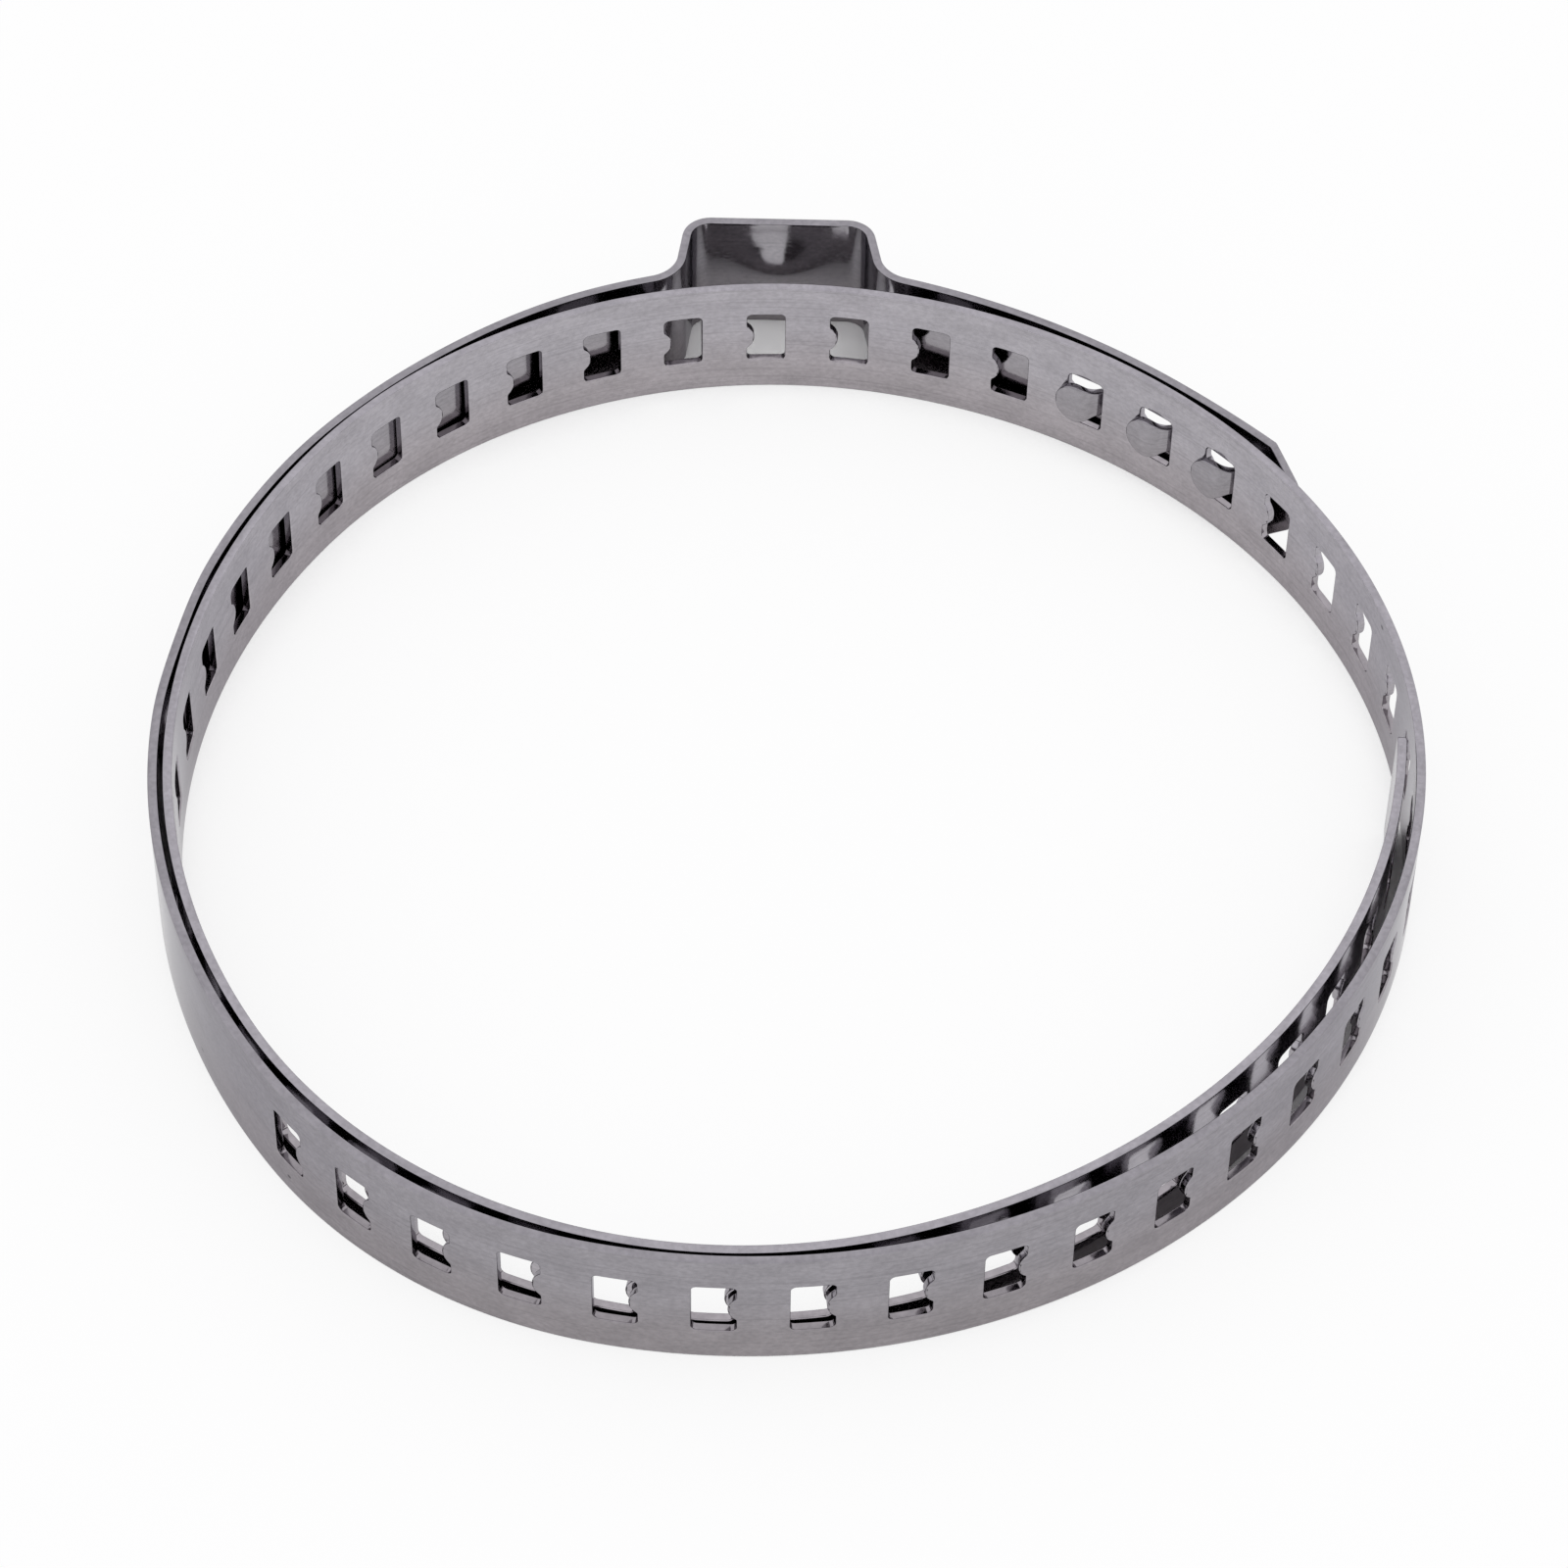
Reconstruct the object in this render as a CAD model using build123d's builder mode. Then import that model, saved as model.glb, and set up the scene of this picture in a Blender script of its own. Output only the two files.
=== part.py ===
from build123d import *
from math import acos, asin, atan2, cos, degrees, floor, hypot, radians, sin, tan
import os

# Boot clamp: one strip of stainless spring band, wound nearly twice round and standing on its edge.
# Seen from above the strip runs counter-clockwise: tapered tip, three hooks, ear, plain stretch,
# row of windows round the outer turn and the inner turn, and last the square tail.
# Millimetres, +Z up, the strip's lower edge on Z = 0.

# Strip
band_width = 9.0
band_thickness = 0.6
edge_round = 0.12

# Ring
ring_radius = 40.0
layer_gap = 0.2

# Winding after the ear. The loose strip is not a true spiral: each bend has the direction,
# from its own centre, in which it ends (degrees from +X), and how much larger its radius is
# than the ring's. That and the centres are shares of the ring's radius, so the loose shape
# keeps its form on a larger or smaller ring.
first_bend_centre_shares = Vector(0.02925, 0.13275)
bends = [
    (137.5, -0.0335),
    (215.5, 0.17775),
    (257.5, -0.18625),
    (333.0, 0.0705),
    (437.5, 0.0495),
    (506.0, -0.067),
    (570.5, 0.18575),
    (644.5, -0.1195),
    (715.5, 0.1405),
]

# Hook end: the single stretch from the ear back to the tip, flatter along its last part
hook_end_centre_shares = Vector(-0.203, -0.188)
hook_end_radius_share = 1.31875
tip_stretch_direction = 49.3
tip_stretch_radius_share = 2.0
tip_stretch_length = 11.2

# Ear, its crest a little lower over the hook end, with a shallow dimple pressed into it
ear_span = 13.9
ear_crest_span = 12.3
ear_height = 5.45
ear_crest_tilt = 1.6
ear_lead = 2.3
ear_foot_radius = 2.7
ear_crest_radius = 1.7
dimple_length = 7.0
dimple_height = 4.6
dimple_depth = 0.28
dimple_overlap = 0.3
dimple_rim_margin = 1.05

# Tip and tail
tip_upper_length = 2.6
tip_upper_cut = 2.3
tip_lower_length = 1.2
tip_lower_cut = 2.9
tip_round = 0.5
tail_round = 0.4

# Windows, each with a rounded tooth on the side towards the tail
window_pitch = 5.778
window_length = 2.65
window_height = 4.1
window_round = 0.35
tooth_depth = 0.52
tooth_radius = 1.2
tooth_root_round = 0.25
plain_length = 85.0
tail_margin = 7.0

# Hooks, lanced out of the hook end and bent through three windows of the layer under it
hook_count = 3
first_hook_inset = 5.5
hook_width = 3.1
hook_thickness = 0.55
hook_lap = 0.68
hook_clearance = 0.12
hook_bend_radius = 0.45
hook_lean = 12.0
hook_wall_offset = 0.34
hook_root_lap = 0.5
slot_clearance = 0.08

# Derived
layer_pitch = band_thickness + layer_gap
cut_depth = band_thickness / 2 + layer_gap / 2
mid_height = band_width / 2
first_bend_centre = first_bend_centre_shares * ring_radius
hook_end_centre = hook_end_centre_shares * ring_radius
hook_end_radius = hook_end_radius_share * ring_radius
tip_stretch_radius = tip_stretch_radius_share * ring_radius


def direction(angle):
    """Unit vector at an angle in degrees from +X."""
    return Vector(cos(radians(angle)), sin(radians(angle)))


def band_plane(path, distance):
    """Plane on the strip's mid-surface: X along the strip, Y up, Z outwards."""
    point = path.position_at(distance, position_mode=PositionMode.LENGTH)
    along = path.tangent_at(distance, position_mode=PositionMode.LENGTH)
    return Plane(
        origin=(point.X, point.Y, mid_height),
        x_dir=along,
        z_dir=along.cross(Vector(0, 0, 1)),
    )


def nearest_distance(path, point):
    """Length along a path, from its start, to its nearest place to a point."""
    nearest = path.distance_to_with_closest_points(Vector(point.X, point.Y))[1]
    return path.param_at_point(nearest) * path.length


# Ear feet: each lies on the tangent of the arc beside it, one lead away from where the arc ends
first_radius = ring_radius * (1 + bends[0][1])
winding_reach = hypot(first_radius, ear_lead)
winding_start = degrees(
    acos((-ear_span / 2 - first_bend_centre.X) / winding_reach) + atan2(ear_lead, first_radius)
)
winding_foot = (
    first_bend_centre
    + direction(winding_start) * first_radius
    - direction(winding_start + 90) * ear_lead
)
hook_end_reach = hypot(hook_end_radius, ear_lead)
hook_end_stop = degrees(
    acos((ear_span / 2 - hook_end_centre.X) / hook_end_reach) - atan2(ear_lead, hook_end_radius)
)
hook_end_foot = (
    hook_end_centre
    + direction(hook_end_stop) * hook_end_radius
    + direction(hook_end_stop + 90) * ear_lead
)
crest_middle = Vector(0, (winding_foot.Y + hook_end_foot.Y) / 2 + ear_height)
crest_along = direction(-ear_crest_tilt)
crest_out = direction(90 - ear_crest_tilt)

# Path of the hook end, from the tip to the ear
tip_stretch_angle = degrees(tip_stretch_length / tip_stretch_radius)
tip_stretch_centre = hook_end_centre + direction(tip_stretch_direction) * (
    hook_end_radius - tip_stretch_radius
)
with BuildLine() as hook_end_line:
    CenterArc(
        tip_stretch_centre,
        tip_stretch_radius,
        tip_stretch_direction - tip_stretch_angle,
        tip_stretch_angle,
    )
    CenterArc(
        hook_end_centre,
        hook_end_radius,
        tip_stretch_direction,
        hook_end_stop - tip_stretch_direction,
    )
hook_end = hook_end_line.wire()

# Path of the winding, from the ear to the tail
with BuildLine() as winding_line:
    centre = first_bend_centre
    radius = first_radius
    begin = winding_start
    for end, extra_share in bends:
        winding_in = layer_pitch * (begin - winding_start) / 360
        next_radius = ring_radius * (1 + extra_share) - winding_in
        centre = centre + direction(begin) * (radius - next_radius)
        radius = next_radius
        CenterArc(centre, radius, begin, end - begin)
        begin = end
winding = winding_line.wire()

# Path of the ear, between the two
with BuildLine() as ear_line:
    FilletPolyline(
        hook_end @ 1,
        hook_end_foot,
        crest_middle + crest_along * (ear_crest_span / 2),
        crest_middle - crest_along * (ear_crest_span / 2),
        winding_foot,
        winding @ 0,
        radius=[ear_foot_radius, ear_crest_radius, ear_crest_radius, ear_foot_radius],
    )
ear = ear_line.wire()

# The row of windows is set out both ways from the one that the first hook goes through
hooked = nearest_distance(winding, band_plane(hook_end, first_hook_inset).origin)
windows_before = floor((hooked - plain_length) / window_pitch)
windows_after = floor((winding.length - tail_margin - hooked) / window_pitch)
window_planes = [
    band_plane(winding, hooked + step * window_pitch)
    for step in range(-windows_before, windows_after + 1)
]
hooked_planes = window_planes[windows_before : windows_before + hook_count]


def pressed_hook(spacing):
    """Tongue bent through a window, whose centre is the origin: X along the strip, Y inwards."""
    lean = tan(radians(hook_lean))
    flat_y = (band_thickness + hook_thickness) / 2 + hook_clearance
    root_x = hook_wall_offset - spacing * lean
    flat_x = hook_wall_offset + flat_y * lean
    end_x = window_length / 2 + hook_lap
    whole_length = end_x * 4
    whole_depth = spacing * 4
    bend_length = hook_bend_radius * tan(radians(90 - hook_lean) / 2)
    with BuildPart() as hook:
        with BuildSketch(Plane.XY):
            with BuildLine() as side:
                FilletPolyline(
                    (root_x - bend_length - hook_root_lap, -spacing),
                    (root_x, -spacing),
                    (flat_x, flat_y),
                    (end_x, flat_y),
                    radius=hook_bend_radius,
                )
            trace(line_width=hook_thickness)
        extrude(amount=hook_width / 2, both=True)
        with BuildSketch(Plane.XZ):
            with Locations((end_x - hook_width / 2, 0)):
                Circle(hook_width / 2)
                Rectangle(whole_length, hook_width, align=(Align.MAX, Align.CENTER))
        extrude(amount=whole_depth, both=True, mode=Mode.INTERSECT)
    bend_start = root_x - bend_length
    developed = bend_start + side.wire().length - hook_root_lap
    return hook.part, bend_start, developed


with BuildPart() as clamp_band:
    # Strip
    with BuildSketch():
        trace(lines=[hook_end, ear, winding], line_width=band_thickness)
    extrude(amount=band_width)

    # Dimple: the same spindle adds its bulge inside the crest and is cut from the outside
    height_radius = (dimple_height**2 / 4 + dimple_depth**2) / (2 * dimple_depth)
    half_turn = asin(dimple_height / 2 / height_radius) * dimple_rim_margin
    for inset, dimple_mode in ((band_thickness, Mode.ADD), (0, Mode.SUBTRACT)):
        axis_offset = band_thickness / 2 - inset - dimple_depth + height_radius
        dimple_origin = crest_middle + crest_out * axis_offset + Vector(0, 0, mid_height)
        dimple_plane = Plane(
            origin=dimple_origin,
            x_dir=crest_along,
            z_dir=crest_out * sin(half_turn) + Vector(0, 0, cos(half_turn)),
        )
        rim = dimple_depth - height_radius
        with BuildSketch(dimple_plane):
            with BuildLine():
                ThreePointArc(
                    (-dimple_length / 2, rim), (0, -height_radius), (dimple_length / 2, rim)
                )
                Polyline(
                    (dimple_length / 2, rim),
                    (dimple_length / 2, rim + dimple_overlap),
                    (-dimple_length / 2, rim + dimple_overlap),
                    (-dimple_length / 2, rim),
                )
            make_face()
        revolve(
            axis=Axis(dimple_origin, crest_along),
            revolution_arc=degrees(2 * half_turn),
            mode=dimple_mode,
        )

    # Tip, cut to a blunt point
    with BuildSketch(band_plane(hook_end, 0)):
        with BuildLine():
            Polyline(
                (-tip_round, -band_width),
                (tip_lower_length, -band_width),
                (tip_lower_length, -mid_height),
                (0, tip_lower_cut - mid_height),
                (0, mid_height - tip_upper_cut),
                (tip_upper_length, mid_height),
                (tip_upper_length, band_width),
                (-tip_round, band_width),
                close=True,
            )
        tip_waste = make_face()
        nose = tip_waste.vertices().group_by(Axis.X)[1]
        fillet(nose, radius=tip_round)
    extrude(amount=cut_depth, both=True, mode=Mode.SUBTRACT)

    # Tail, square with eased corners
    with BuildSketch(band_plane(winding, winding.length)):
        Rectangle(2 * tail_round, band_width + 2 * tail_round)
        RectangleRounded(
            4 * tail_round,
            band_width,
            tail_round,
            align=(Align.MAX, Align.CENTER),
            mode=Mode.SUBTRACT,
        )
    extrude(amount=cut_depth, both=True, mode=Mode.SUBTRACT)

    # Long edges, rounded when the band was slit
    faces = clamp_band.faces().filter_by(Axis.Z)
    slit_edges = faces.group_by(Axis.Z)[0].edges() + faces.group_by(Axis.Z)[-1].edges()
    fillet(slit_edges, radius=edge_round)

    # Windows
    with BuildSketch(*window_planes) as window:
        Rectangle(window_length, window_height)
        fillet(window.vertices(), radius=window_round)
        with Locations((window_length / 2 - tooth_depth + tooth_radius, 0)):
            Circle(tooth_radius, mode=Mode.SUBTRACT)
        tooth_roots = window.vertices().group_by(Axis.X)[-1].sort_by(Axis.Y)[1:-1]
        fillet(tooth_roots, radius=tooth_root_round)
    extrude(amount=cut_depth, both=True, mode=Mode.SUBTRACT)

    # Hooks and the slots that they leave
    for window_plane in hooked_planes:
        over = band_plane(hook_end, nearest_distance(hook_end, window_plane.origin))
        spacing = (over.origin - window_plane.origin).length
        hook, slot_start, slot_end = pressed_hook(spacing)
        slot_height = hook_width + 2 * slot_clearance
        with BuildSketch(over):
            with Locations((slot_end - slot_height / 2, 0)):
                Circle(slot_height / 2)
            with Locations((slot_start, 0)):
                Rectangle(
                    slot_end - slot_height / 2 - slot_start,
                    slot_height,
                    align=(Align.MIN, Align.CENTER),
                )
        extrude(amount=cut_depth, both=True, mode=Mode.SUBTRACT)
        hook_plane = Plane(
            origin=window_plane.origin, x_dir=window_plane.x_dir, z_dir=(0, 0, 1)
        )
        add(hook_plane.location * hook)

# The origin goes to the middle of the footprint
footprint = clamp_band.part.bounding_box().center()
clamp_band.part.position -= Vector(footprint.X, footprint.Y, 0)
clamp_band.part.label = "clamp_band"

os.makedirs("parts", exist_ok=True)
export_step(clamp_band.part, "parts/clamp_band.step")

print("windows", len(window_planes), "strip length", hook_end.length + ear.length + winding.length)
print("solids", len(clamp_band.part.solids()), "volume", clamp_band.part.volume)
print("footprint centre", footprint)
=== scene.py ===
# %% [markdown]
# A boot clamp closes the rubber boot round a driveshaft joint. It is one strip of stainless
# spring band, 9 mm wide and 0.6 mm thick, wound nearly twice round. It has a row of punched
# windows, three tongues pressed out of its end that hook into three of the windows, and an ear
# that pliers crimp to pull the band tight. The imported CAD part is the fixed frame. This lesson
# makes the strip flat, as the factory does, punches it, presses it, and then winds it up.

# %% Load the frame
import math

import bmesh
import bpy
from mathutils import Matrix, Vector


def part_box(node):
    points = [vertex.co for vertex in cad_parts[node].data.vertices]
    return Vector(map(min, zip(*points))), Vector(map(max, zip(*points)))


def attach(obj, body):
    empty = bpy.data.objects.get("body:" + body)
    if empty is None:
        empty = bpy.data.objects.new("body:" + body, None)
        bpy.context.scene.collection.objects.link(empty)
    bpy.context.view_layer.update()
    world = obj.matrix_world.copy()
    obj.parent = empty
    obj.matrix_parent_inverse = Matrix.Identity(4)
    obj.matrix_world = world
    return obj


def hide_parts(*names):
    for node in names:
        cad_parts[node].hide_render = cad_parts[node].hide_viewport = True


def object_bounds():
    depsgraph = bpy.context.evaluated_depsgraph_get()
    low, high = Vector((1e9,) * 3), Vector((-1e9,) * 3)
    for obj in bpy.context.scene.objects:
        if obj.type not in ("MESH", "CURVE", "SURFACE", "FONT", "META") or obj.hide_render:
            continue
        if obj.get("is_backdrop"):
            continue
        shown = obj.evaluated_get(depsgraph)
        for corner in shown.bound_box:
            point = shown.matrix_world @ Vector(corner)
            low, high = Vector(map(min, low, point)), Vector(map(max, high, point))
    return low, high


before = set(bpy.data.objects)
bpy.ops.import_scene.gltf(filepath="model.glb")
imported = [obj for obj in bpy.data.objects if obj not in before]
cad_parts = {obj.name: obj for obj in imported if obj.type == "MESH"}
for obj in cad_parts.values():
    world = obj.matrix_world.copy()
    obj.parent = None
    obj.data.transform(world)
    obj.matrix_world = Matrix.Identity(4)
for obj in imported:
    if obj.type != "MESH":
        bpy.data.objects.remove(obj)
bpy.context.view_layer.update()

NODE = "clamp_band"

# %% [markdown]
# All sizes are in millimetres, as on the drawing of the part, and turn into Blender's metres
# in one place. The strip lies flat at first: X is the place along it from the tip of the hook
# end, Y points to the inside of the ring, and Z is up its width.

# %% Sizes of the strip
MM = 0.001
BAND_WIDTH = 9.0
BAND_THICKNESS = 0.6
MID_HEIGHT = BAND_WIDTH / 2
EDGE_ROUND = 0.1
EDGE_SEGMENTS = 2

RING_RADIUS = 40.0
LAYER_PITCH = 0.8
FIRST_BEND_CENTRE = Vector((1.17, 5.31, 0))
BENDS = [
    (137.5, -1.34),
    (215.5, 7.11),
    (257.5, -7.45),
    (333.0, 2.82),
    (437.5, 1.98),
    (506.0, -2.68),
    (570.5, 7.43),
    (644.5, -4.78),
    (715.5, 5.62),
]
HOOK_END_CENTRE = Vector((-8.12, -7.52, 0))
HOOK_END_RADIUS = RING_RADIUS + 12.75
TIP_STRETCH_DIRECTION = 49.3
TIP_STRETCH_RADIUS = 80.0
TIP_STRETCH_LENGTH = 11.2

EAR_SPAN = 13.9
EAR_CREST_SPAN = 12.3
EAR_HEIGHT = 5.45
EAR_CREST_TILT = 1.6
EAR_LEAD = 2.3
EAR_FOOT_RADIUS = 2.7
EAR_CREST_RADIUS = 1.7

WINDOW_PITCH = 5.778
WINDOW_LENGTH = 2.65
WINDOW_HEIGHT = 4.1
WINDOW_ROUND = 0.35
TOOTH_DEPTH = 0.52
TOOTH_RADIUS = 1.2
TOOTH_ROOT_ROUND = 0.14
PLAIN_LENGTH = 85.0
TAIL_MARGIN = 7.0
print("band:", BAND_WIDTH, "by", BAND_THICKNESS, "mm, ring radius:", RING_RADIUS, "mm")

# %% [markdown]
# The loose strip is not a true circle. Its centre line is a chain of arcs, each tangent to the
# next, and straight runs at the ear. One Bezier curve can follow arcs almost exactly: a handle
# of 4/3 tan(turn/4) times the radius makes the curve leave a circle by less than a hundredth of
# a millimetre. So the path needs only a point and a direction at each join.

# %% Path helpers
STRAIGHT_TURN = 1e-6
WIDEST_ARC = 30.0


def direction(angle):
    """Unit vector at an angle in degrees from +X."""
    return Vector((math.cos(math.radians(angle)), math.sin(math.radians(angle)), 0))


def arc_knots(centre, radius, begin, end):
    """Points and directions along an arc, no further apart than the widest turn."""
    steps = max(1, math.ceil((end - begin) / WIDEST_ARC))
    angles = [begin + (end - begin) * i / steps for i in range(steps + 1)]
    return [(centre + direction(a) * radius, direction(a + 90)) for a in angles]


def corner_knots(before, corner, after, radius):
    """The two points where a rounded corner starts and ends, with their directions."""
    arriving = (corner - before).normalized()
    leaving = (after - corner).normalized()
    reach = radius * math.tan(arriving.angle(leaving) / 2)
    return [(corner - arriving * reach, arriving), (corner + leaving * reach, leaving)]


def run_length(first, second):
    """Length of the arc or straight run between two knots."""
    chord = (second[0] - first[0]).length
    turn = first[1].angle(second[1], 0)
    return chord if turn < STRAIGHT_TURN else chord * turn / 2 / math.sin(turn / 2)


def handle_length(first, second):
    """Length of the two Bezier handles that make an arc between two knots."""
    chord = (second[0] - first[0]).length
    turn = first[1].angle(second[1], 0)
    if turn < STRAIGHT_TURN:
        return chord / 3
    return chord * 2 / 3 * math.tan(turn / 4) / math.sin(turn / 2)


def path_length(path_knots):
    """Length of a whole chain of arcs and straight runs."""
    return sum(run_length(a, b) for a, b in zip(path_knots, path_knots[1:]))


quarter = arc_knots(Vector((0, 0, 0)), RING_RADIUS, 0, 90)
print("a quarter of the ring has", len(quarter), "knots and", round(path_length(quarter), 2), "mm")

# %% [markdown]
# The ear is a bridge. Two lines climb to it from feet that lie on the ring, and its crest is a
# straight line between them; all four corners are rounded. The hook end is a flatter arc on one
# side of it, with a still flatter tip. The winding starts on the other side, and each bend of
# it has its own radius, because a loose band springs open unevenly.

# %% Path of the whole strip
first_radius = RING_RADIUS + BENDS[0][1]
winding_reach = math.hypot(first_radius, EAR_LEAD)
winding_start = math.degrees(
    math.acos((-EAR_SPAN / 2 - FIRST_BEND_CENTRE.x) / winding_reach)
    + math.atan2(EAR_LEAD, first_radius)
)
winding_foot = (
    FIRST_BEND_CENTRE
    + direction(winding_start) * first_radius
    - direction(winding_start + 90) * EAR_LEAD
)
hook_reach = math.hypot(HOOK_END_RADIUS, EAR_LEAD)
hook_end_stop = math.degrees(
    math.acos((EAR_SPAN / 2 - HOOK_END_CENTRE.x) / hook_reach)
    - math.atan2(EAR_LEAD, HOOK_END_RADIUS)
)
hook_foot = (
    HOOK_END_CENTRE
    + direction(hook_end_stop) * HOOK_END_RADIUS
    + direction(hook_end_stop + 90) * EAR_LEAD
)
crest_middle = Vector((0, (winding_foot.y + hook_foot.y) / 2 + EAR_HEIGHT, 0))
crest_reach = direction(-EAR_CREST_TILT) * EAR_CREST_SPAN / 2

tip_turn = math.degrees(TIP_STRETCH_LENGTH / TIP_STRETCH_RADIUS)
tip_centre = HOOK_END_CENTRE + direction(TIP_STRETCH_DIRECTION) * (
    HOOK_END_RADIUS - TIP_STRETCH_RADIUS
)
hook_end_knots = arc_knots(
    tip_centre, TIP_STRETCH_RADIUS, TIP_STRETCH_DIRECTION - tip_turn, TIP_STRETCH_DIRECTION
)
hook_end_knots += arc_knots(
    HOOK_END_CENTRE, HOOK_END_RADIUS, TIP_STRETCH_DIRECTION, hook_end_stop
)[1:]

bend_arcs = []
centre = FIRST_BEND_CENTRE
radius = first_radius
begin = winding_start
for end, extra in BENDS:
    next_radius = RING_RADIUS + extra - LAYER_PITCH * (begin - winding_start) / 360
    centre = centre + direction(begin) * (radius - next_radius)
    radius = next_radius
    bend_arcs.append((centre, radius, begin, end))
    begin = end
winding_knots = arc_knots(*bend_arcs[0])
for arc in bend_arcs[1:]:
    winding_knots += arc_knots(*arc)[1:]

corners = [
    hook_end_knots[-1][0],
    hook_foot,
    crest_middle + crest_reach,
    crest_middle - crest_reach,
    winding_foot,
    winding_knots[0][0],
]
rounds = [EAR_FOOT_RADIUS, EAR_CREST_RADIUS, EAR_CREST_RADIUS, EAR_FOOT_RADIUS]
ear_knots = []
for i, corner_round in enumerate(rounds):
    ear_knots += corner_knots(corners[i], corners[i + 1], corners[i + 2], corner_round)

knots = hook_end_knots + ear_knots + winding_knots
hook_end_length = path_length(hook_end_knots)
winding_begins = path_length(hook_end_knots + ear_knots + winding_knots[:1])
strip_length = path_length(knots)
print("strip length in mm:", round(strip_length, 3), "ear ends at", round(winding_begins, 3))

# %% [markdown]
# Each hook must land in a window, so the row of windows is laid out from the hooks: the first
# hook's place picks the window under it, and the row runs both ways from there in whole pitches.

# %% Stations of the windows and the hooks
FIRST_HOOK_INSET = 5.5
HOOK_COUNT = 3
HOOKED_BEND = 4


def station_under(point, bend):
    """Length along the strip, from the tip, to the place of a bend nearest to a point."""
    before = sum(r * math.radians(e - b) for _, r, b, e in bend_arcs[:bend])
    arc_centre, arc_radius, arc_begin, _ = bend_arcs[bend]
    offset = point - arc_centre
    angle = math.degrees(math.atan2(offset.y, offset.x))
    angle += 360 * math.floor((arc_begin + 180 - angle) / 360 + 0.5)
    return winding_begins + before + arc_radius * math.radians(angle - arc_begin)


inset_turn = math.degrees(FIRST_HOOK_INSET / TIP_STRETCH_RADIUS)
first_hook_angle = TIP_STRETCH_DIRECTION - tip_turn + inset_turn
first_hook_point = tip_centre + direction(first_hook_angle) * TIP_STRETCH_RADIUS
hooked_station = station_under(first_hook_point, HOOKED_BEND)
windows_before = math.floor((hooked_station - winding_begins - PLAIN_LENGTH) / WINDOW_PITCH)
windows_after = math.floor((strip_length - TAIL_MARGIN - hooked_station) / WINDOW_PITCH)
window_count = windows_before + 1 + windows_after
row_begins = hooked_station - (windows_before + 0.5) * WINDOW_PITCH
row_ends = row_begins + window_count * WINDOW_PITCH
print("windows:", window_count, "from", round(row_begins, 2), "to", round(row_ends, 2), "mm")

# %% [markdown]
# Blender's operators act on what is selected, and loading the frame leaves the CAD node
# selected, so each step starts by deselecting everything. A few short helpers keep that habit.

# %% Modelling helpers
TOUCHING = 1e-6
SELECT_MODES = {"verts": "VERT", "edges": "EDGE", "faces": "FACE"}
TOOL_REACH = 2 * BAND_THICKNESS


def only(piece):
    """Makes a piece the only selected and active one."""
    bpy.ops.object.select_all(action="DESELECT")
    piece.select_set(True)
    bpy.context.view_layer.objects.active = piece


def added(name):
    """Names the object that an operator has just added, and puts its place into its mesh."""
    piece = bpy.context.active_object
    piece.name = name
    bpy.ops.object.transform_apply(location=True, rotation=True, scale=True)
    return piece


def with_modifier(piece, kind, **settings):
    """Adds a modifier, sets it up and applies it."""
    only(piece)
    modifier = piece.modifiers.new(kind.title(), kind)
    for key, value in settings.items():
        setattr(modifier, key, value)
    bpy.ops.object.modifier_apply(modifier=modifier.name)


def cut(piece, tool, operation="DIFFERENCE"):
    """Cuts, keeps or adds a tool's volume with an exact boolean, and removes the tool."""
    with_modifier(piece, "BOOLEAN", operation=operation, object=tool, solver="EXACT")
    bpy.data.objects.remove(tool, do_unlink=True)


def block(name, low, high):
    """A box between two corners in millimetres."""
    bpy.ops.object.select_all(action="DESELECT")
    middle = [(a + b) / 2 * MM for a, b in zip(low, high)]
    bpy.ops.mesh.primitive_cube_add(size=1, location=middle)
    bpy.context.active_object.scale = [(b - a) * MM for a, b in zip(low, high)]
    return added(name)


def pick(piece, kind, test):
    """Opens a piece for editing with only the elements that pass a test selected."""
    only(piece)
    bpy.ops.object.mode_set(mode="EDIT")
    mesh = bmesh.from_edit_mesh(piece.data)
    for element in [*mesh.verts, *mesh.edges, *mesh.faces]:
        element.select = False
    mesh.select_mode = {SELECT_MODES[kind]}
    found = [element for element in getattr(mesh, kind) if test(element)]
    for element in found:
        element.select = True
    mesh.select_flush_mode()
    bmesh.update_edit_mesh(piece.data)
    return len(found)


def done():
    """Closes a piece that was open for editing."""
    bpy.ops.object.mode_set(mode="OBJECT")


def across(edge):
    """True for an edge that runs through the strip's thickness."""
    a, b = (v.co for v in edge.verts)
    return abs(a.x - b.x) < TOUCHING and abs(a.z - b.z) < TOUCHING


def round_corners(piece, test, offset, segments):
    """Rounds the edges that pass a test, and tells how many they were."""
    count = pick(piece, "edges", test)
    bpy.ops.mesh.bevel(offset=offset * MM, segments=segments, affect="EDGES")
    done()
    return count


print("a tool reaches", TOOL_REACH, "mm to each side of the strip's middle")

# %% [markdown]
# The flat strip is a grid of narrow columns, because a bent face is smooth only if many columns
# follow the curve. The rows keep clear of the windows' corners, so that no cut leaves a very
# short edge for the edge rounding to trip over.

# %% Flat strip
ROWS = [0.0, 1.1, 2.2, 6.8, 7.9, 9.0]
SHARP_ANGLE = 35.0


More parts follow.
